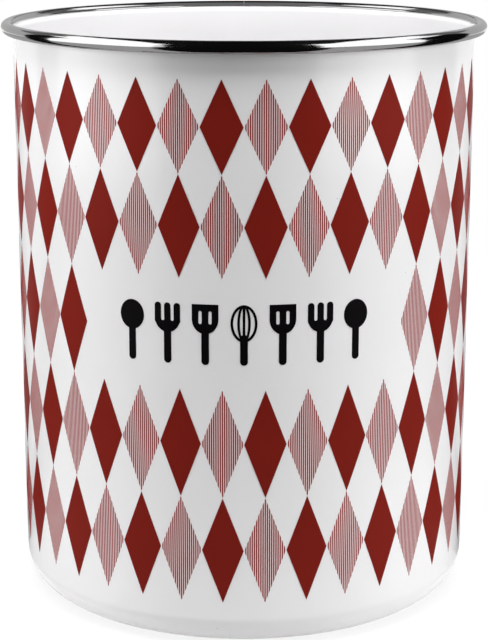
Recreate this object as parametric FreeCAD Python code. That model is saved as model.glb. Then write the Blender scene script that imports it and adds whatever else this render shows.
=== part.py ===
import FreeCAD, Part
import math
import os

# Utensil crock: a drawn steel can, enamelled white inside and out, with a stainless rim band and a
# fired harlequin print. Millimetres and degrees. The origin is the middle of the base, +Z is up,
# and the label window faces -Y.

# Driving dimensions of the can
body_diameter = 141.2        # outside of the enamelled wall
total_height = 178.0         # from the table to the top of the rim
steel_thickness = 0.6
enamel_thickness = 0.2       # the fired coat on each side of the steel
corner_radius = 10.0         # outside radius between the wall and the base
standing_ring_width = 6.0    # flat ring that meets the table
base_lift = 1.5              # how far the middle of the base is raised
base_step_radius = 3.0       # both bends of the step up to the raised panel

# Driving dimensions of the lip and the rim band
lip_bend_radius = 0.5        # outside of the enamel, under the rim
lip_bend_angle = 70.0        # how far the lip turns away from the upright wall
lip_run = 0.1                # straight lip between its bend and the band
band_diameter = 3.65         # the rolled tube of the band
band_thickness = 0.35
crimp_clearance = 0.02       # between the slit of the band and the enamel
lip_end_clearance = 0.15     # between the edge of the lip and the inside of the tube
band_joint_gap = 0.05        # tight butt joint of the band, at the back

# Driving dimensions of the harlequin print
print_thickness = 0.08
print_top_margin = 10.5      # from the top of the rim down to the first tips
print_bottom_margin = 14.8   # from the table up to the last tips
lozenge_rows = 5
lozenge_columns = 36
tip_gap = 0.16               # between the tips of neighbours
top_row_shortening = 0.18    # the share by which the top row is lower than the label row
label_row = 2                # the row with the label window, counted from 0 at the top
label_columns = 8            # columns that the label window leaves out

# Driving dimensions of the kitchen tools printed in the label window
tool_height = 17.6
tool_pitch = 11.0            # between neighbours, round the wall
tool_handle_width = 2.2
tool_head_width = 7.6
tool_head_height = 8.6
tool_slot_width = 0.95       # between the tines of the fork and in the turner
whisk_head_height = 10.8
whisk_wire_width = 0.75

# Sizes that follow from them
body_radius = body_diameter / 2
sheet_thickness = steel_thickness + 2 * enamel_thickness
base_step_angle = math.acos(1 - base_lift / (2 * base_step_radius))
ring_outer_radius = body_radius - corner_radius
ring_inner_radius = ring_outer_radius - standing_ring_width
panel_radius = ring_inner_radius - 2 * base_step_radius * math.sin(base_step_angle)

band_radius = band_diameter / 2
band_inner_radius = band_radius - band_thickness
slit_half_width = sheet_thickness / 2 + crimp_clearance
lip_angle = math.radians(lip_bend_angle)
lip_along = FreeCAD.Vector(math.sin(lip_angle), 0, math.cos(lip_angle))
lip_across = FreeCAD.Vector(-math.cos(lip_angle), 0, math.sin(lip_angle))
lip_length = lip_run + math.sqrt(band_radius**2 - slit_half_width**2)
lip_middle_radius = lip_bend_radius + sheet_thickness / 2
band_centre = FreeCAD.Vector(
    body_radius + lip_bend_radius - lip_middle_radius * math.cos(lip_angle)
    + lip_length * math.sin(lip_angle),
    0,
    total_height - band_radius,
)
lip_start_height = (
    band_centre.z - lip_middle_radius * math.sin(lip_angle) - lip_length * math.cos(lip_angle)
)
lip_past_centre = math.sqrt(band_inner_radius**2 - (sheet_thickness / 2)**2) - lip_end_clearance

print_top = total_height - print_top_margin
column_angle = 360.0 / lozenge_columns
up = FreeCAD.Vector(0, 0, 1)
middle = FreeCAD.Vector(0, 0, 0)


def point(radius, height):
    """A point in the section plane of the can."""
    return FreeCAD.Vector(radius, 0, height)


def line(start, end):
    return Part.LineSegment(start, end).toShape()


def arc(centre, radius, start_angle, end_angle):
    """An arc in the section plane; angles in radians, from +X towards +Z."""
    angles = (start_angle, (start_angle + end_angle) / 2, end_angle)
    points = [centre + point(radius * math.cos(a), radius * math.sin(a)) for a in angles]
    return Part.Arc(*points).toShape()


def closed_face(edges):
    return Part.Face(Part.Wire(Part.__sortEdges__(edges)))


def skin_path(depth):
    """The can's section at a depth below its outer surface, from the axis to the edge of the lip."""
    down = -math.pi / 2
    panel_bend = arc(
        point(panel_radius, base_lift - base_step_radius),
        base_step_radius + depth,
        math.pi / 2,
        math.pi / 2 - base_step_angle,
    )
    ring_bend = arc(
        point(ring_inner_radius, base_step_radius),
        base_step_radius - depth,
        down - base_step_angle,
        down,
    )
    corner = arc(point(ring_outer_radius, corner_radius), corner_radius - depth, down, 0)
    lip_bend = arc(
        point(body_radius + lip_bend_radius, lip_start_height),
        lip_bend_radius + depth,
        math.pi,
        math.pi - lip_angle,
    )
    lip_end = (
        band_centre + lip_across * (depth - sheet_thickness / 2) + lip_along * lip_past_centre
    )
    panel = line(point(0, base_lift + depth), point(panel_radius, base_lift + depth))
    ring = line(point(ring_inner_radius, depth), point(ring_outer_radius, depth))
    wall = line(
        point(body_radius - depth, corner_radius),
        point(body_radius - depth, lip_start_height),
    )
    lip = line(lip_bend.Vertexes[-1].Point, lip_end)
    return [panel, panel_bend, ring_bend, ring, corner, wall, lip_bend, lip], lip_end


def can_layer(outer_depth, inner_depth):
    """One layer of the can between two depths, turned round the axis."""
    outer_edges, outer_end = skin_path(outer_depth)
    inner_edges, inner_end = skin_path(inner_depth)
    axis_edge = line(point(0, base_lift + outer_depth), point(0, base_lift + inner_depth))
    lip_edge = line(outer_end, inner_end)
    section = closed_face(outer_edges + [lip_edge] + inner_edges + [axis_edge])
    return section.revolve(middle, up, 360)


def rim_band():
    """A slit tube crimped on to the lip, open by a butt joint at the back."""

    def slit_corner(radius, side):
        along = -math.sqrt(radius**2 - slit_half_width**2)
        return band_centre + lip_along * along + lip_across * (side * slit_half_width)

    def tube_arc(radius):
        far_side = band_centre + lip_along * radius
        return Part.Arc(slit_corner(radius, 1), far_side, slit_corner(radius, -1)).toShape()

    slit_edges = [
        line(slit_corner(band_radius, side), slit_corner(band_inner_radius, side))
        for side in (1, -1)
    ]
    section = closed_face([tube_arc(band_radius), tube_arc(band_inner_radius)] + slit_edges)
    joint_angle = math.degrees(band_joint_gap / band_centre.x)
    section.rotate(middle, up, 90 + joint_angle / 2)
    return section.revolve(middle, up, 360 - joint_angle)


def film_tube():
    """The whole layer that printed films are cut from, on the straight wall."""
    low = point(0, corner_radius)
    height = lip_start_height - corner_radius
    outside = Part.makeCylinder(body_radius + print_thickness, height, low)
    return outside.cut(Part.makeCylinder(body_radius, height, low))


def stamp(face):
    """A flat face in the XZ plane, pushed out through the front of the wall."""
    return face.extrude(FreeCAD.Vector(0, -2 * body_radius, 0))


def row_levels():
    """Heights of the row boundaries, top first; above the label row, rows get evenly lower."""
    shares = [
        1 - top_row_shortening * max(0, label_row - row) / max(1, label_row)
        for row in range(lozenge_rows)
    ]
    row_unit = (print_top - print_bottom_margin) / sum(shares)
    levels = [print_top]
    for share in shares:
        levels.append(levels[-1] - share * row_unit)
    return levels


def lozenge(high, low, film):
    """One upright lozenge at the front, with half a tip gap kept free at each tip."""
    half_angle = math.radians(column_angle / 2) - tip_gap / 2 / body_radius
    half_width = body_radius * math.sin(half_angle)
    waist = (high + low) / 2
    corners = [
        point(0, high - tip_gap / 2),
        point(half_width, waist),
        point(0, low + tip_gap / 2),
        point(-half_width, waist),
    ]
    return stamp(Part.Face(Part.makePolygon(corners + corners[:1]))).common(film).Solids[0]


def lozenge_print(film):
    """Every lozenge, as two lists: the solid ones and the striped ones, which take turns."""
    levels = row_levels()
    solid = []
    striped = []
    first_column = -(lozenge_columns // 2)
    for row in range(lozenge_rows):
        pattern = lozenge(levels[row], levels[row + 1], film)
        for column in range(first_column, first_column + lozenge_columns):
            in_label = -label_columns / 2 <= column < label_columns / 2
            if row == label_row and in_label:
                continue
            piece = pattern.copy()
            piece.rotate(middle, up, (column + 0.5) * column_angle)
            if (row + column) % 2:
                solid.append(piece)
            else:
                striped.append(piece)
    return solid, striped


def oval(width, height, centre_height):
    """An upright ellipse, given as a stamp."""
    centre = point(0, centre_height)
    tall = point(0, centre_height + height / 2)
    wide = point(width / 2, centre_height)
    ends = (tall, wide) if height >= width else (wide, tall)
    return stamp(closed_face([Part.Ellipse(ends[0], ends[1], centre).toShape()]))


def bar(width, low, high, across=0.0):
    """An upright bar with round ends, given as a stamp."""
    half = width / 2
    low_centre = point(across, low + half)
    high_centre = point(across, high - half)
    edges = [
        arc(low_centre, half, math.pi, 2 * math.pi),
        line(low_centre + point(half, 0), high_centre + point(half, 0)),
        arc(high_centre, half, 0, math.pi),
        line(high_centre - point(half, 0), low_centre - point(half, 0)),
    ]
    return stamp(closed_face(edges))


def block(width, low, high):
    """An upright rectangle, given as a stamp."""
    half = width / 2
    corners = [point(-half, low), point(half, low), point(half, high), point(-half, high)]
    return stamp(Part.Face(Part.makePolygon(corners + corners[:1])))


def tool_print(film):
    """A row of generic kitchen tools across the label window: spoons, forks, turners and a whisk."""
    levels = row_levels()
    label_middle = (levels[label_row] + levels[label_row + 1]) / 2
    foot = label_middle - tool_height / 2
    head_top = label_middle + tool_height / 2
    neck = head_top - tool_head_height
    head_middle = (neck + head_top) / 2
    tine_width = (tool_head_width - 2 * tool_slot_width) / 3
    tine_pitch = tine_width + tool_slot_width
    slot_places = (-tine_pitch / 2, tine_pitch / 2)
    handle = bar(tool_handle_width, foot, neck + tool_handle_width)
    bowl = oval(tool_head_width, tool_head_height, head_middle)
    spoon = handle.fuse(bowl)

    tine_foot = head_middle - tine_width
    lower_bowl = bowl.cut(block(2 * tool_head_width, head_middle, head_top + tool_head_height))
    tines = [bar(tine_width, tine_foot, head_top, across) for across in (-tine_pitch, 0, tine_pitch)]
    tine_gaps = [
        bar(tool_slot_width, head_middle - tool_slot_width, head_top + tool_head_height, place)
        for place in slot_places
    ]
    fork = handle.fuse([lower_bowl.cut(tine_gaps)] + tines)

    blade = bowl.fuse(block(tool_head_width, head_middle, head_top))
    blade_slots = [
        bar(tool_slot_width, neck + tine_pitch, head_top - tine_width, place) for place in slot_places
    ]
    turner = handle.fuse(blade.cut(blade_slots))

    whisk_neck = head_top - whisk_head_height
    whisk_middle = (whisk_neck + head_top) / 2

    def wire_loop(width):
        inside = oval(
            width - 2 * whisk_wire_width,
            whisk_head_height - 2 * whisk_wire_width,
            whisk_middle,
        )
        return oval(width, whisk_head_height, whisk_middle).cut(inside)

    whisk_handle = bar(tool_handle_width, foot, whisk_neck + tool_handle_width)
    middle_wire = bar(whisk_wire_width, whisk_neck, head_top)
    whisk = whisk_handle.fuse([wire_loop(tool_head_width), wire_loop(tool_head_width / 2), middle_wire])

    row = [spoon, fork, turner, whisk, turner, fork, spoon]
    pitch_angle = math.degrees(tool_pitch / body_radius)
    films = []
    for place, tool in enumerate(row):
        piece = tool.removeSplitter().common(film).Solids[0]
        piece.rotate(middle, up, (place - (len(row) - 1) / 2) * pitch_angle)
        films.append(piece)
    return films


def write_node(name, shape):
    shape.exportStep(os.path.join("parts", name + ".step"))


os.makedirs("parts", exist_ok=True)
film = film_tube()
solid_lozenges, striped_lozenges = lozenge_print(film)
write_node("steel_body", can_layer(enamel_thickness, enamel_thickness + steel_thickness))
write_node("outer_enamel", can_layer(0, enamel_thickness))
write_node("inner_enamel", can_layer(enamel_thickness + steel_thickness, sheet_thickness))
write_node("rim_band", rim_band())
write_node("solid_lozenges", Part.makeCompound(solid_lozenges))
write_node("striped_lozenges", Part.makeCompound(striped_lozenges))
write_node("tool_print", Part.makeCompound(tool_print(film)))
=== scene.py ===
import math
import bpy
import numpy as np
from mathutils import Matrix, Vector


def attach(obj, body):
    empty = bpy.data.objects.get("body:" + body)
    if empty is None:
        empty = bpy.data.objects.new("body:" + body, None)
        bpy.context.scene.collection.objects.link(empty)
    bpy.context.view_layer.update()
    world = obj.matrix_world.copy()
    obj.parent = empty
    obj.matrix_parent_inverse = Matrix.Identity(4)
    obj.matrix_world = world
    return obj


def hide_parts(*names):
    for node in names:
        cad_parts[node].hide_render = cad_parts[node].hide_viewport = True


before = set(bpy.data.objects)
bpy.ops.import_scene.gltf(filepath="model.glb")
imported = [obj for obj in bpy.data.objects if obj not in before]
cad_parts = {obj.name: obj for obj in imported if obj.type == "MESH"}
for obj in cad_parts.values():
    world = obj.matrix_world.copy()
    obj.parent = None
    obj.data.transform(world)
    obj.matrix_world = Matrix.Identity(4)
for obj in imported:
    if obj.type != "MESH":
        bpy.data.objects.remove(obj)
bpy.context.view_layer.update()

# Steel body
# One cup drawn from thin sheet steel, with a raised base panel and a lip bent outwards at the top.
# Enamel is fired on to both of its sides, so it shows only inside the rim band, at the edge of the lip.
steel_colour = (0.42, 0.42, 0.43, 1.0)
draw_line_scale = (900.0, 900.0, 30.0)
steel_roughness = {"To Min": 0.28, "To Max": 0.5}


def new_material(name, constants):
    """A node material whose Principled shader takes the constants on its own sockets."""
    material = bpy.data.materials.new(name)
    material.use_nodes = True
    shader = material.node_tree.nodes["Principled BSDF"]
    for socket, value in constants.items():
        shader.inputs[socket].default_value = value
    return material, material.node_tree, shader


def add_node(tree, kind, inputs=None, **settings):
    """A node with its settings; an input is a constant, or the output socket that feeds it."""
    node = tree.nodes.new(kind)
    for name, value in settings.items():
        setattr(node, name, value)
    for name, value in (inputs or {}).items():
        if isinstance(value, bpy.types.NodeSocket):
            tree.links.new(value, node.inputs[name])
        else:
            node.inputs[name].default_value = value
    return node


drawn_steel, tree, shader = new_material("drawn_steel", {"Base Color": steel_colour, "Metallic": 1.0})
spot = add_node(tree, "ShaderNodeTexCoord").outputs["Object"]
draw_lines = add_node(tree, "ShaderNodeMapping", {"Vector": spot, "Scale": draw_line_scale})
streaks = add_node(tree, "ShaderNodeTexNoise", {"Vector": draw_lines.outputs["Vector"], "Detail": 3.0})
steel_gloss = add_node(tree, "ShaderNodeMapRange", {"Value": streaks.outputs["Fac"], **steel_roughness})
tree.links.new(steel_gloss.outputs["Result"], shader.inputs["Roughness"])
steel_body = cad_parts["steel_body"]
steel_body.data.materials.clear()
steel_body.data.materials.append(drawn_steel)

# Outer enamel
# White glass fused on to the outside of the steel, over the wall, the rounded corner and the underside.
# It is sprayed and fired, which leaves a gloss with a faint ripple and a few dark specks.
body_radius = 0.0706
total_height = 0.178
steel_thickness = 0.0006
enamel_thickness = 0.0002
corner_radius = 0.010
standing_ring_width = 0.006
base_lift = 0.0015
base_step_radius = 0.003
lip_bend_radius = 0.0005
lip_bend_angle = math.radians(70.0)
lip_run = 0.0001
band_radius = 0.001825
band_thickness = 0.00035
crimp_clearance = 0.00002
lip_end_clearance = 0.00015
turn_segments = 320
step_points = 9
corner_points = 25
lip_bend_points = 13
panel_points = 10
wall_points = 24
short_run_points = 2
sharp_edge_angle = math.radians(40.0)
enamel_colour = (0.87, 0.862, 0.87, 1.0)
enamel_finish = {"Roughness": 0.12, "IOR": 1.5}
enamel_clouding = 0.97
fired_dark = (0.12, 0.11, 0.11, 1.0)
ripple_scale = 55.0
ripple_height = 0.0003
ripple_strength = 0.35
peel_scale = 420.0
peel_share = 0.06
speck_scale = 95.0
speck_size = {"From Min": 0.012, "From Max": 0.018, "To Min": 0.55, "To Max": 0.0}
pin_size = {"From Min": 0.0007, "From Max": 0.0013, "To Min": 0.9, "To Max": 0.0}
pin_turns = np.radians([30.0, 150.0, 270.0])

sheet_thickness = steel_thickness + 2 * enamel_thickness
slit_half_width = sheet_thickness / 2 + crimp_clearance
lip_length = lip_run + math.sqrt(band_radius**2 - slit_half_width**2)
lip_middle_radius = lip_bend_radius + sheet_thickness / 2
band_centre_height = total_height - band_radius
band_centre_radius = (
    body_radius
    + lip_bend_radius
    - lip_middle_radius * math.cos(lip_bend_angle)
    + lip_length * math.sin(lip_bend_angle)
)
lip_start_height = (
    band_centre_height
    - lip_middle_radius * math.sin(lip_bend_angle)
    - lip_length * math.cos(lip_bend_angle)
)


def arc(centre, radius, start, end, count):
    """Points at even steps of angle on a circle in the section plane, one row each of radius and height."""
    angle = np.linspace(start, end, count)
    return np.stack([centre[0] + radius * np.cos(angle), centre[1] + radius * np.sin(angle)])


def straight(start, end, count):
    """Points at even steps from start to end, both left out, one row each of radius and height."""
    step = np.linspace(0.0, 1.0, count + 2)[1:-1]
    return np.outer(start, 1.0 - step) + np.outer(end, step)


def can_section(depth):
    """The can's section at a depth under its outer surface, from the axis to the edge of the lip:
    level panel, two arcs down to the standing ring, corner arc, wall, lip bend and straight lip."""
    down = -math.pi / 2
    step_angle = math.acos(1.0 - base_lift / (2.0 * base_step_radius))
    ring_outer = body_radius - corner_radius
    ring_inner = ring_outer - standing_ring_width
    panel_radius = ring_inner - 2.0 * base_step_radius * math.sin(step_angle)
    panel_bend = arc(
        (panel_radius, base_lift - base_step_radius),
        base_step_radius + depth,
        math.pi / 2,
        math.pi / 2 - step_angle,
        step_points,
    )
    ring_bend = arc(
        (ring_inner, base_step_radius), base_step_radius - depth, down - step_angle, down, step_points
    )[:, 1:]
    corner = arc((ring_outer, corner_radius), corner_radius - depth, down, 0.0, corner_points)
    lip_bend = arc(
        (body_radius + lip_bend_radius, lip_start_height),
        lip_bend_radius + depth,
        math.pi,
        math.pi - lip_bend_angle,
        lip_bend_points,
    )
    band_inner = band_radius - band_thickness
    past_centre = math.sqrt(band_inner**2 - (sheet_thickness / 2)**2) - lip_end_clearance
    above_middle = depth - sheet_thickness / 2
    lip_end = np.array([
        band_centre_radius
        - above_middle * math.cos(lip_bend_angle)
        + past_centre * math.sin(lip_bend_angle),
        band_centre_height
        + above_middle * math.sin(lip_bend_angle)
        + past_centre * math.cos(lip_bend_angle),
    ])
    axis_point = np.array([[0.0], [base_lift + depth]])
    panel = straight(axis_point[:, 0], panel_bend[:, 0], panel_points)
    ring = straight(ring_bend[:, -1], corner[:, 0], short_run_points)
    wall = straight(corner[:, -1], lip_bend[:, 0], wall_points)
    lip = straight(lip_bend[:, -1], lip_end, short_run_points)
    base = [axis_point, panel, panel_bend, ring_bend, ring]
    side = [corner, wall, lip_bend, lip, lip_end[:, None]]
    return np.concatenate(base + side, axis=1)


def link_piece(mesh, name, material):
    """Puts a finished mesh into the scene as a piece with one material, smooth but for its sharp edges."""
    mesh.shade_smooth()
    mesh.set_sharp_from_angle(angle=sharp_edge_angle)
    mesh.materials.append(material)
    piece = bpy.data.objects.new(name, mesh)
    bpy.context.scene.collection.objects.link(piece)
    return piece


def turned_shell(name, outer_depth, inner_depth, material):
    """A coat of the can as a surface of revolution: out along the section at one depth, back along it
    at the other. A section point (r, z) at turn a lies at (r cos a, r sin a, z); both ends are poles."""
    section = np.concatenate([can_section(outer_depth), can_section(inner_depth)[:, ::-1]], axis=1)
    radius, height = section
    turn = np.linspace(0.0, 2.0 * math.pi, turn_segments, endpoint=False)
    ring_radius = radius[1:-1, None]
    rings = np.stack([
        ring_radius * np.cos(turn),
        ring_radius * np.sin(turn),
        np.repeat(height[1:-1, None], turn_segments, axis=1),
    ], axis=-1).reshape(-1, 3)
    poles = np.array([[0.0, 0.0, height[0]], [0.0, 0.0, height[-1]]])
    index = np.arange(len(rings)).reshape(-1, turn_segments)
    beside = np.roll(index, -1, axis=1)
    quads = np.stack([index[:-1], beside[:-1], beside[1:], index[1:]], axis=-1).reshape(-1, 4)
    first_pole = np.full(turn_segments, len(rings))
    first_fan = np.stack([first_pole, beside[0], index[0]], axis=-1)
    last_fan = np.stack([first_pole + 1, index[-1], beside[-1]], axis=-1)
    mesh = bpy.data.meshes.new(name)
    faces = quads.tolist() + first_fan.tolist() + last_fan.tolist()
    mesh.from_pydata(np.concatenate([rings, poles]).tolist(), [], faces)
    return link_piece(mesh, name, material)


def fired_glaze_group():
    """Node group for everything fired on the steel: a slow ripple with a fine orange peel as a normal,
    and a tone from 0 to 1 that clouds the colour a little."""
    group = bpy.data.node_groups.new("fired_glaze", "ShaderNodeTree")
    group.interface.new_socket("Ripple", in_out="INPUT", socket_type="NodeSocketFloat")
    group.interface.new_socket("Normal", in_out="OUTPUT", socket_type="NodeSocketVector")
    group.interface.new_socket("Tone", in_out="OUTPUT", socket_type="NodeSocketFloat")
    entry = add_node(group, "NodeGroupInput")
    spot = add_node(group, "ShaderNodeTexCoord").outputs["Object"]
    slow = add_node(group, "ShaderNodeTexNoise", {"Vector": spot, "Scale": ripple_scale, "Detail": 1.0})
    peel = add_node(group, "ShaderNodeTexNoise", {"Vector": spot, "Scale": peel_scale, "Detail": 0.5})
    fine_peel = add_node(
        group, "ShaderNodeMath", {0: peel.outputs["Fac"], 1: peel_share}, operation="MULTIPLY"
    )
    surface = add_node(
        group, "ShaderNodeMath", {0: slow.outputs["Fac"], 1: fine_peel.outputs["Value"]}, operation="ADD"
    )
    bump = add_node(
        group,
        "ShaderNodeBump",
        {
            "Strength": entry.outputs["Ripple"],
            "Distance": ripple_height,
            "Height": surface.outputs["Value"],
        },
    )
    leave = add_node(group, "NodeGroupOutput")
    group.links.new(bump.outputs["Normal"], leave.inputs["Normal"])
    group.links.new(slow.outputs["Fac"], leave.inputs["Tone"])
    return group


fired_glaze = fired_glaze_group()


def mix_colour(tree, factor, first, second):
    """The colour between first and second at the factor, each a constant or a socket."""
    mix = tree.nodes.new("ShaderNodeMix")
    mix.data_type = "RGBA"
    for socket, value in (("Factor_Float", factor), ("A_Color", first), ("B_Color", second)):
        entry = next(s for s in mix.inputs if s.identifier == socket)
        if isinstance(value, bpy.types.NodeSocket):
            tree.links.new(value, entry)
        else:
            entry.default_value = value
    return next(s for s in mix.outputs if s.identifier == "Result_Color")


def shaded(colour, share):
    """The colour with its brightness times the share."""
    return tuple(share * c for c in colour[:3]) + (1.0,)


def enamel_material(name, colour, pin_points):
    """White fired enamel: a glossy rippled glaze, clouded by a few percent, with sparse dark specks
    and a small dark mark at each point where a firing pin held the can."""
    material, tree, shader = new_material(name, enamel_finish)
    glaze = add_node(tree, "ShaderNodeGroup", node_tree=fired_glaze)
    glaze.inputs["Ripple"].default_value = ripple_strength
    spot = add_node(tree, "ShaderNodeTexCoord").outputs["Object"]
    cells = add_node(tree, "ShaderNodeTexVoronoi", {"Vector": spot, "Scale": speck_scale})
    speck = add_node(tree, "ShaderNodeMapRange", {"Value": cells.outputs["Distance"], **speck_size})
    cloudy = mix_colour(tree, glaze.outputs["Tone"], shaded(colour, enamel_clouding), colour)
    marked = mix_colour(tree, speck.outputs["Result"], cloudy, fired_dark)
    for point in pin_points:
        reach = add_node(tree, "ShaderNodeVectorMath", {0: spot, 1: point}, operation="DISTANCE")
        pin = add_node(tree, "ShaderNodeMapRange", {"Value": reach.outputs["Value"], **pin_size})
        marked = mix_colour(tree, pin.outputs["Result"], marked, fired_dark)
    tree.links.new(marked, shader.inputs["Base Color"])
    tree.links.new(glaze.outputs["Normal"], shader.inputs["Normal"])
    return material


ring_middle = body_radius - corner_radius - standing_ring_width / 2
pin_points = [(ring_middle * math.cos(a), ring_middle * math.sin(a), 0.0) for a in pin_turns]
outer_white = enamel_material("outer_white_enamel", enamel_colour, pin_points)
outer_enamel = turned_shell("fired_outer_enamel", 0.0, enamel_thickness, outer_white)
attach(outer_enamel, "root")
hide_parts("outer_enamel")

# Inner enamel
# The same white glass on the inside, over the floor, the corner and the wall, up on to the lip.
# It is fired in the same heat, and the rim band covers its edge.
inner_white = enamel_material("inner_white_enamel", enamel_colour, [])
inner_enamel = turned_shell(
    "fired_inner_enamel", sheet_thickness - enamel_thickness, sheet_thickness, inner_white
)
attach(inner_enamel, "root")
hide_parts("inner_enamel")

# Rim band
# A strip of stainless steel rolled to a slit tube and crimped over the lip, then polished along its length.
# Its two ends meet in a butt joint at the back.
band_joint_gap = 0.00005
band_inside_points = 17
band_edge_points = 9
band_outside_points = 49
band_turn_points = 385
stainless_colour = (0.64, 0.64, 0.645, 1.0)
# The next two give the painted shade on the band's underside: its near-black colour, and how far down the
# surface must face.
painted_underside_shade = (0.12, 0.12, 0.12, 1.0)
painted_shade_reach = {"From Min": -0.95, "From Max": -0.7}
buffing_scale = (35.0, 9000.0, 1.0)
buffed_roughness = {"To Min": 0.05, "To Max": 0.13}
scratch_depth = 0.00001
scratch_strength = 0.15


def band_section():
    """The strip's closed section: an arc of its middle line, thick to both sides, with round edges.
    It starts in the middle of the hollow side and runs round the upper edge first."""
    half = band_thickness / 2
    middle = band_radius - half
    open_half_angle = math.asin((slit_half_width + half) / middle)
    towards_lip = 1.5 * math.pi - lip_bend_angle
    away = towards_lip - math.pi
    upper = towards_lip - open_half_angle
    lower = towards_lip - 2.0 * math.pi + open_half_angle
    centre = np.array([band_centre_radius, band_centre_height])
    edge_up = centre + middle * np.array([math.cos(upper), math.sin(upper)])
    edge_low = centre + middle * np.array([math.cos(lower), math.sin(lower)])
    return np.concatenate([
        arc(centre, band_radius - band_thickness, away, upper, band_inside_points)[:, :-1],
        arc(edge_up, half, upper + math.pi, upper, band_edge_points)[:, :-1],
        arc(centre, band_radius, upper, lower, band_outside_points)[:, :-1],
        arc(edge_low, half, lower, lower - math.pi, band_edge_points)[:, :-1],
        arc(centre, band_radius - band_thickness, lower, away, band_inside_points)[:, :-1],
    ], axis=1)


def turned_band(name, section, gap, material):
    """A closed section (r, z) carried round the axis from one side of the joint to the other and capped:
    at turn a it lies at (r cos a, r sin a, z). Its UV map holds real lengths along and across the strip."""
    radius, height = section
    half_gap = gap / band_centre_radius / 2
    turn = math.pi / 2 + np.linspace(half_gap, 2.0 * math.pi - half_gap, band_turn_points)
    points = np.stack([
        radius * np.cos(turn)[:, None],
        radius * np.sin(turn)[:, None],
        np.repeat(height[None], len(turn), axis=0),
    ], axis=-1)
    index = np.arange(points.shape[0] * points.shape[1]).reshape(points.shape[:2])
    around = np.roll(index, -1, axis=1)
    quads = np.stack([index[:-1], around[:-1], around[1:], index[1:]], axis=-1).reshape(-1, 4)
    mesh = bpy.data.meshes.new(name)
    caps = [index[0, ::-1].tolist(), index[-1].tolist()]
    mesh.from_pydata(points.reshape(-1, 3).tolist(), [], quads.tolist() + caps)
    across = np.concatenate([[0.0], np.cumsum(np.hypot(*np.diff(section, axis=1)))])
    along = (turn - turn[0]) * band_centre_radius
    layer = mesh.uv_layers.new(name="strip_lengths")
    corners = np.zeros(len(mesh.loops), dtype=np.int32)
    mesh.loops.foreach_get("vertex_index", corners)
    lengths = np.stack([along[corners // len(radius)], across[corners % len(radius)]], axis=-1)
    layer.data.foreach_set("uv", lengths.astype(np.float32).ravel())
    return link_piece(mesh, name, material)


polished, tree, shader = new_material("polished_stainless", {"Metallic": 1.0})
# Where the band faces down, its colour goes to near black: painted shade on its underside, over the wall
# below it.
facing = add_node(tree, "ShaderNodeNewGeometry").outputs["Normal"]
facing_up = add_node(tree, "ShaderNodeSeparateXYZ", {"Vector": facing}).outputs["Z"]
under = add_node(tree, "ShaderNodeMapRange", {"Value": facing_up, **painted_shade_reach})
stainless_with_painted_shade = mix_colour(tree, under.outputs["Result"], painted_underside_shade, stainless_colour)
tree.links.new(stainless_with_painted_shade, shader.inputs["Base Color"])
strip = add_node(tree, "ShaderNodeUVMap", uv_map="strip_lengths").outputs["UV"]
buffing = add_node(tree, "ShaderNodeMapping", {"Vector": strip, "Scale": buffing_scale})
lines = add_node(tree, "ShaderNodeTexNoise", {"Vector": buffing.outputs["Vector"], "Detail": 2.0})
gloss = add_node(tree, "ShaderNodeMapRange", {"Value": lines.outputs["Fac"], **buffed_roughness})
tree.links.new(gloss.outputs["Result"], shader.inputs["Roughness"])
scratch = add_node(
    tree,
    "ShaderNodeBump",
    {"Strength": scratch_strength, "Distance": scratch_depth, "Height": lines.outputs["Fac"]},
)
tree.links.new(scratch.outputs["Normal"], shader.inputs["Normal"])
rim_band = turned_band("crimped_rim_band", band_section(), band_joint_gap, polished)
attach(rim_band, "root")
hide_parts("rim_band")

# Solid lozenges
# Full dark-red lozenges of the harlequin print, a screened glass ink fired into the white enamel.
# They stand tip to tip in rows, the two above the label a little lower, and leave its window free.
film_thickness = 0.00008
film_points = 9
print_top_margin = 0.0105
print_bottom = 0.0148
lozenge_rows = 5
lozenge_columns = 36
tip_gap = 0.00016
top_row_shortening = 0.18
label_row = 2
label_columns = 8
red_ink = (0.19, 0.013, 0.008, 1.0)
ink_finish = {"Roughness": 0.4, "Specular IOR Level": 0.04}
darkest_ink = 0.92
lightest_ink = 1.06

print_top = total_height - print_top_margin
below_top = np.arange(lozenge_rows)
row_share = 1.0 - top_row_shortening * np.maximum(label_row - below_top, 0) / label_row
row_height = row_share * (print_top - print_bottom) / row_share.sum()
row_waist = print_top - np.cumsum(row_height) + row_height / 2
column_turn = 2.0 * math.pi / lozenge_columns
half_turn = column_turn / 2 - tip_gap / 2 / body_radius

row, column = np.mgrid[0:lozenge_rows, -(lozenge_columns // 2):lozenge_columns - lozenge_columns // 2]
in_label = (row == label_row) & (column >= -label_columns / 2) & (column < label_columns / 2)
is_solid = (row + column) % 2 == 1


def lozenge_places(chosen):
    """Middle turn, waist height and half height of the chosen lozenges, each as one column."""
    turn = (column[chosen] + 0.5) * column_turn
    half_height = (row_height[row[chosen]] - tip_gap) / 2
    return turn[:, None, None], row_waist[row[chosen]][:, None, None], half_height[:, None, None]


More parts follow.
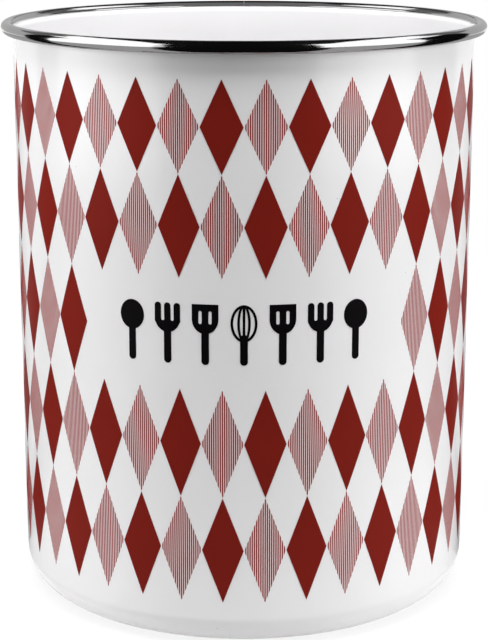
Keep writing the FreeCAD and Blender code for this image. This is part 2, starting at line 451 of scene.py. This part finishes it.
def fired_film(name, turn, height, thickness, material):
    """Thin closed films on the wall, one grid (rows, columns) per film. A grid point at turn t and height z
    lies at (r sin t, -r cos t, z), on the wall and once more the thickness out; the borders join."""
    turn, height = np.broadcast_arrays(turn, height)
    radius = np.array([body_radius + thickness, body_radius]).reshape(2, 1, 1, 1)
    level = np.broadcast_to(height, (2,) + height.shape)
    points = np.stack([radius * np.sin(turn), -radius * np.cos(turn), level], axis=-1)
    front, back = np.arange(points.size // 3).reshape(points.shape[:-1])

    def grid_quads(index):
        """The four corners of every cell of the grids, in order, one row for each cell."""
        corners = [index[:, :-1, :-1], index[:, :-1, 1:], index[:, 1:, 1:], index[:, 1:, :-1]]
        return np.stack(corners, axis=-1).reshape(-1, 4)

    def border(index):
        """Each grid's outer points in order: first row, last column, last row and first column."""
        sides = [index[:, 0, :-1], index[:, :-1, -1], index[:, -1, :0:-1], index[:, :0:-1, 0]]
        return np.concatenate(sides, axis=1)

    front_edge, back_edge = border(front), border(back)
    edge_strip = np.stack([
        back_edge, np.roll(back_edge, -1, axis=1), np.roll(front_edge, -1, axis=1), front_edge
    ], axis=-1).reshape(-1, 4)
    faces = np.concatenate([grid_quads(front), grid_quads(back)[:, ::-1], edge_strip])
    mesh = bpy.data.meshes.new(name)
    mesh.from_pydata(points.reshape(-1, 3).tolist(), [], faces.tolist())
    return link_piece(mesh, name, material)


def ink_material(name, colour):
    """Fired glass ink: the enamel's own ripple, a softer gloss, and a colour clouded by a few percent."""
    material, tree, shader = new_material(name, ink_finish)
    glaze = add_node(tree, "ShaderNodeGroup", node_tree=fired_glaze)
    glaze.inputs["Ripple"].default_value = ripple_strength
    cloudy = mix_colour(
        tree, glaze.outputs["Tone"], shaded(colour, darkest_ink), shaded(colour, lightest_ink)
    )
    tree.links.new(cloudy, shader.inputs["Base Color"])
    tree.links.new(glaze.outputs["Normal"], shader.inputs["Normal"])
    return material


red = ink_material("fired_red_ink", red_ink)
along_side = np.linspace(0.0, 1.0, film_points)
rise, fall = np.meshgrid(along_side, along_side, indexing="ij")
middle_turn, waist, half_height = lozenge_places(is_solid & ~in_label)
solid_lozenges = fired_film(
    "solid_red_lozenges",
    middle_turn + half_turn * (rise + fall - 1.0),
    waist + half_height * (rise - fall),
    film_thickness,
    red,
)
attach(solid_lozenges, "root")
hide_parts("solid_lozenges")

# Striped lozenges
# Between the full ones stand lozenges of the same size, screened as fine upright lines of thinner ink.
# One line stands in the middle, and each ends on the slanted sides of its lozenge.
stripes_per_side = 9
stripe_share = 0.63
room_at_side_tips = 0.7
stripe_thickness = 0.00002
stripe_ink = (0.28, 0.018, 0.012, 1.0)

stripe_pitch = half_turn / (stripes_per_side + room_at_side_tips)
stripe = np.arange(-stripes_per_side, stripes_per_side + 1)
across_stripe = np.array([-0.5, 0.0, 0.5]) * stripe_share * stripe_pitch
stripe_edges = stripe[:, None] * stripe_pitch + across_stripe
stripe_reach = 1.0 - np.abs(stripe_edges) / half_turn
middle_turn, waist, half_height = lozenge_places(~is_solid & ~in_label)
stripe_turn = middle_turn + stripe_edges
stripe_rise = half_height * stripe_reach
grid_turn = np.stack([stripe_turn, stripe_turn], axis=2)
grid_height = np.stack([waist - stripe_rise, waist + stripe_rise], axis=2)
striped_lozenges = fired_film(
    "striped_red_lozenges",
    grid_turn.reshape(-1, 2, 3),
    grid_height.reshape(-1, 2, 3),
    stripe_thickness,
    ink_material("fired_thin_red_ink", stripe_ink),
)
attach(striped_lozenges, "root")
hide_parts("striped_lozenges")

# Kitchen tools in the label window
# A row of plain tool outlines in the window that the lozenges leave: spoons, forks, turners and a whisk.
# They are screened in black glass ink and fired into the enamel in the same heat as the lozenges.
black_ink = (0.0035, 0.003, 0.0035, 1.0)
black = ink_material("fired_black_ink", black_ink)
tool_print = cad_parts["tool_print"]
tool_print.data.materials.clear()
tool_print.data.materials.append(black)

# Floor
# A plain white sheet that the crock stands on. The camera and the polished steel see it mostly lit from
# itself, so that it reads as white and still keeps the crock's shadow. Far out it throws little light back.
# From below it is clear, and under the base it lets the light from below through.
floor_half = 6.0
floor_white = (1.0, 1.0, 1.0, 1.0)
floor_seen = (0.9, 0.9, 0.9, 1.0)
near_bounce = (0.55, 0.55, 0.55, 1.0)
far_bounce = (0.07, 0.07, 0.07, 1.0)
bounce_reach = {"From Min": 0.15, "From Max": 0.28}
glow_reach = {"From Min": 0.15, "From Max": 0.5, "To Min": 0.85}
window_reach = {"From Min": 0.055, "From Max": 0.068, "To Min": 1.0, "To Max": 0.0}

floor_mesh = bpy.data.meshes.new("white_floor")
floor_corners = [(-1, -1), (1, -1), (1, 1), (-1, 1)]
floor_points = [(floor_half * x, floor_half * y, 0.0) for x, y in floor_corners]
floor_mesh.from_pydata(floor_points, [], [(0, 1, 2, 3)])
white_sheet = bpy.data.materials.new("white_sheet")
white_sheet.use_nodes = True
tree = white_sheet.node_tree
tree.nodes.clear()


def seen_directly(tree):
    """1 for rays from the camera, off polished surfaces or through glass, and 0 for other rays."""
    path = add_node(tree, "ShaderNodeLightPath").outputs
    first = add_node(
        tree, "ShaderNodeMath", {0: path["Is Camera Ray"], 1: path["Is Glossy Ray"]}, operation="MAXIMUM"
    )
    either = add_node(
        tree,
        "ShaderNodeMath",
        {0: first.outputs["Value"], 1: path["Is Transmission Ray"]},
        operation="MAXIMUM",
    )
    return either.outputs["Value"]


seen = seen_directly(tree)
spot = add_node(tree, "ShaderNodeTexCoord").outputs["Object"]
away = add_node(tree, "ShaderNodeVectorMath", {0: spot}, operation="LENGTH").outputs["Value"]
further_out = add_node(tree, "ShaderNodeMapRange", {"Value": away, **bounce_reach})
bounce = mix_colour(tree, further_out.outputs["Result"], near_bounce, far_bounce)
lit_sheet = add_node(tree, "ShaderNodeBsdfDiffuse", {"Color": mix_colour(tree, seen, bounce, floor_seen)})
glow = add_node(tree, "ShaderNodeEmission", {"Color": floor_white, "Strength": 1.0})
own_light = add_node(tree, "ShaderNodeMapRange", {"Value": away, **glow_reach})
share = add_node(tree, "ShaderNodeMath", {0: seen, 1: own_light.outputs["Result"]}, operation="MULTIPLY")
from_above = add_node(
    tree,
    "ShaderNodeMixShader",
    {0: share.outputs["Value"], 1: lit_sheet.outputs["BSDF"], 2: glow.outputs["Emission"]},
)
clear = add_node(tree, "ShaderNodeBsdfTransparent")
underside = add_node(tree, "ShaderNodeNewGeometry").outputs["Backfacing"]
light_ray = add_node(tree, "ShaderNodeLightPath").outputs["Is Shadow Ray"]
under_base = add_node(tree, "ShaderNodeMapRange", {"Value": away, **window_reach})
window = add_node(
    tree, "ShaderNodeMath", {0: light_ray, 1: under_base.outputs["Result"]}, operation="MULTIPLY"
)
let_through = add_node(
    tree, "ShaderNodeMath", {0: underside, 1: window.outputs["Value"]}, operation="MAXIMUM"
)
sheet_shader = add_node(
    tree,
    "ShaderNodeMixShader",
    {0: let_through.outputs["Value"], 1: from_above.outputs["Shader"], 2: clear.outputs["BSDF"]},
)
add_node(tree, "ShaderNodeOutputMaterial", {"Surface": sheet_shader.outputs["Shader"]})
floor_mesh.materials.append(white_sheet)
floor = bpy.data.objects.new("white_floor", floor_mesh)
bpy.context.scene.collection.objects.link(floor)

# Studio light
# A white room with soft boxes to the left and the right of the crock, above it, behind it and below it.
# Small boxes and strips close to it light the upper wall, and one over the mouth lights the inside.
room_light = 0.045
room_white = (1.0, 1.0, 1.0, 1.0)
object_middle = np.array([0.0, 0.0, total_height / 2])
near_rim = np.array([0.0, 0.0, 0.17])
far_wall = np.array([0.0, 0.07, 0.15])
side_distance = 0.85
side_height = 0.24
side_size = (0.5, 0.6)
small_distance = 0.24
small_height = 0.19
small_size = (0.08, 0.08)
strip_distance = 0.1
strip_height = 0.163
strip_size = (0.035, 0.006)
upper_wall = np.array([0.0, 0.0, strip_height])
top_place = np.array([0.0, -0.33, 1.02])
mouth_place = np.array([0.0, -0.06, 0.45])
under_place = np.array([0.2, 0.35, -0.45])
back_height = 0.55

world = bpy.data.worlds.new("white_room")
bpy.context.scene.world = world
world.use_nodes = True
tree = world.node_tree
tree.nodes.clear()
room = add_node(
    tree, "ShaderNodeMapRange", {"Value": seen_directly(tree), "To Min": room_light, "To Max": 1.0}
)
background = add_node(
    tree, "ShaderNodeBackground", {"Color": room_white, "Strength": room.outputs["Result"]}
)
add_node(tree, "ShaderNodeOutputWorld", {"Surface": background.outputs["Background"]})


def from_front(degrees, distance, height):
    """A place at an angle a from the front of the crock, positive to the right as the camera sees it:
    at distance d and height h it is (d sin a, -d cos a, h)."""
    angle = math.radians(degrees)
    return np.array([distance * math.sin(angle), -distance * math.cos(angle), height])


def soft_box(name, place, target, size, radiance):
    """A rectangle of even light that faces the target. Its power is pi times area times radiance."""
    width, height = size
    light = bpy.data.lights.new(name, "AREA")
    light.shape = "RECTANGLE"
    light.size = width
    light.size_y = height
    light.energy = math.pi * width * height * radiance
    box = bpy.data.objects.new(name, light)
    box.location = place
    aim = Vector(target - place)
    box.rotation_euler = aim.to_track_quat("-Z", "Y").to_euler()
    box.visible_glossy = False
    box.visible_camera = False
    bpy.context.scene.collection.objects.link(box)


left_place = from_front(-75.0, side_distance, side_height)
right_place = from_front(72.0, side_distance, side_height)
back_place = from_front(180.0, side_distance, back_height)
left_small_place = from_front(-78.0, small_distance, small_height)
right_small_place = from_front(66.0, small_distance, small_height)
left_strip_place = from_front(-39.0, strip_distance, strip_height)
right_strip_place = from_front(29.0, strip_distance, strip_height)
soft_box("left_soft_box", left_place, object_middle, side_size, 5.0)
soft_box("left_small_box", left_small_place, near_rim, small_size, 4.8)
soft_box("right_soft_box", right_place, object_middle, side_size, 6.3)
soft_box("right_small_box", right_small_place, near_rim, small_size, 1.0)
soft_box("left_strip_box", left_strip_place, upper_wall, strip_size, 2.6)
soft_box("right_strip_box", right_strip_place, upper_wall, strip_size, 2.1)
soft_box("top_soft_box", top_place, object_middle, (0.9, 0.44), 8.3)
soft_box("mouth_soft_box", mouth_place, far_wall, (0.12, 0.1), 3.4)
soft_box("back_soft_box", back_place, object_middle, (0.8, 0.6), 4.6)
soft_box("under_soft_box", under_place, object_middle, (0.3, 0.3), 8.0)

# Cloths round the crock
# White, grey and black cloths hang over the crock, stand round it and lie on the floor, and a grey card
# hangs over its mouth. They glow with an even grey of their own and are not lit. Only glossy surfaces
# see them: they give the rim band its bright and dark lengths.
arch_radius = 1.2
arch_points = 25
mat_height = 0.003
grey_mat_height = 0.002
mat_inner_reach = 0.0745
front_mat_reach = 1.7
mat_points = 49
cloth_radius = 0.9
cloth_points = 13
cloth_top = 2.0
black_cloth_top = 0.78
side_grey_foot = 0.09
side_grey_top = 0.55
side_dark_top = 1.0
back_grey_foot = 0.12
back_grey_top = 0.65
side_end = 148.0
back_end = 178.0
black_tone = 0.004
white_tone = 1.6
cloth_grey = 0.5
mat_grey = 0.42
low_arch_grey = 0.4
card_grey = 0.2
side_dark = 0.15
back_dark = 0.05
arch_dark = 0.03
no_colour = (0.0, 0.0, 0.0, 1.0)


def hang_cloth(name, points, grey):
    """A grid of points as a cloth that glows with an even grey of its own, which only glossy surfaces see.
    """
    index = np.arange(points.size // 3).reshape(points.shape[:2])
    quads = np.stack([index[:-1, :-1], index[:-1, 1:], index[1:, 1:], index[1:, :-1]], axis=-1)
    mesh = bpy.data.meshes.new(name)
    mesh.from_pydata(points.reshape(-1, 3).tolist(), [], quads.reshape(-1, 4).tolist())
    own_grey = {"Emission Color": (grey, grey, grey, 1.0), "Emission Strength": 1.0}
    even_grey, tree, shader = new_material(
        name, {"Base Color": no_colour, "Specular IOR Level": 0.0, **own_grey}
    )
    mesh.materials.append(even_grey)
    cloth = bpy.data.objects.new(name, mesh)
    bpy.context.scene.collection.objects.link(cloth)
    cloth.visible_camera = False
    cloth.visible_diffuse = False
    cloth.visible_shadow = False
    cloth.visible_transmission = False


def arched_cloth(name, start_degrees, end_degrees, start_width, end_width, grey):
    """A strip of cloth on a great arch over the crock, between two angles up from the floor in front.
    At an angle a its edges are half its width to both sides of (0, -r cos a, h + r sin a)."""
    turn = np.radians(np.linspace(start_degrees, end_degrees, arch_points))
    half_width = np.linspace(start_width, end_width, arch_points)[:, None] / 2
    hang_cloth(name, np.stack([
        half_width * np.array([-1.0, 1.0]),
        np.repeat(-arch_radius * np.cos(turn)[:, None], 2, axis=1),
        np.repeat(mat_height + arch_radius * np.sin(turn)[:, None], 2, axis=1),
    ], axis=-1), grey)


def laid_cloth(name, start_degrees, end_degrees, end_reach, height, grey):
    """A sector of a flat ring on the floor round the crock, between two angles from the front.
    At an angle a and a reach r it lies at (r sin a, -r cos a), a little above the floor."""
    angle = np.radians(np.linspace(start_degrees, end_degrees, mat_points))
    reach = np.array([mat_inner_reach, end_reach])[:, None]
    hang_cloth(name, np.stack([
        reach * np.sin(angle), -reach * np.cos(angle), np.full((2, mat_points), height)
    ], axis=-1), grey)


def upright_cloth(name, start_degrees, end_degrees, low_edge, high_edge, grey):
    """A tall cloth on a circle round the crock, between two angles from the front and two heights.
    At an angle a it stands at (r sin a, -r cos a)."""
    angle = np.radians(np.linspace(start_degrees, end_degrees, cloth_points))
    heights = np.array([low_edge, high_edge])
    hang_cloth(name, np.stack([
        np.repeat(cloth_radius * np.sin(angle)[None], 2, axis=0),
        np.repeat(-cloth_radius * np.cos(angle)[None], 2, axis=0),
        np.repeat(heights[:, None], cloth_points, axis=1),
    ], axis=-1), grey)


def mouth_card(name, rise, half_width, front, back, grey):
    """A level card a little way above the mouth of the crock, between two places in depth."""
    across, deep = np.meshgrid([-half_width, half_width], [front, back])
    hang_cloth(name, np.stack([across, deep, np.full((2, 2), total_height + rise)], axis=-1), grey)


arched_cloth("front_arch", 0.0, 115.0, 1.74, 1.0, black_tone)
arched_cloth("back_arch", 115.0, 160.0, 1.0, 0.7, arch_dark)
arched_cloth("low_back_arch", 160.0, 176.0, 0.7, 0.7, low_arch_grey)
mouth_card("grey_card", 0.02, 0.02, -0.02, 0.07, card_grey)
laid_cloth("grey_mat", -180.0, 180.0, arch_radius, grey_mat_height, mat_grey)
laid_cloth("black_mat", -40.0, 38.0, front_mat_reach, mat_height, black_tone)
cloth_ends = (("left", -1.0, 40.0, 98.0, 118.0), ("right", 1.0, 34.0, 88.0, 124.0))
for side, sign, front, white_end, black_end in cloth_ends:
    white_turn = (sign * front, sign * white_end)
    black_turn = (sign * white_end, sign * black_end)
    grey_turn = (sign * black_end, sign * side_end)
    back_turn = (sign * side_end, sign * back_end)
    laid_cloth(side + "_black_mat", *black_turn, cloth_radius, mat_height, black_tone)
    upright_cloth(side + "_white_cloth", *white_turn, 0.0, cloth_top, white_tone)
    upright_cloth(side + "_black_cloth", *black_turn, 0.0, black_cloth_top, black_tone)
    upright_cloth(side + "_high_white_cloth", *black_turn, black_cloth_top, cloth_top, white_tone)
    upright_cloth(side + "_grey_cloth", *grey_turn, side_grey_foot, side_grey_top, cloth_grey)
    upright_cloth(side + "_dark_cloth", *grey_turn, side_grey_top, side_dark_top, side_dark)
    upright_cloth(side + "_top_white_cloth", *grey_turn, side_dark_top, cloth_top, white_tone)
    upright_cloth(side + "_back_grey_cloth", *back_turn, back_grey_foot, back_grey_top, cloth_grey)
    upright_cloth(side + "_back_dark_cloth", *back_turn, back_grey_top, cloth_top, back_dark)

# Camera
# It stands where the photograph was taken from: right in front, a little above the rim, with a long lens.
# It looks down a little, at the label window.
camera_place = (0.0, -0.56875, 0.22529)
camera_tilt = math.radians(90.0 - 14.114)
lens_length = 102.97
sensor_width = 36.0

camera_data = bpy.data.cameras.new("photo_camera")
camera_data.sensor_width = sensor_width
camera_data.lens = lens_length
camera = bpy.data.objects.new("photo_camera", camera_data)
camera.location = camera_place
camera.rotation_euler = (camera_tilt, 0.0, 0.0)
bpy.context.scene.collection.objects.link(camera)
bpy.context.scene.camera = camera
bpy.context.scene.view_settings.view_transform = "Standard"
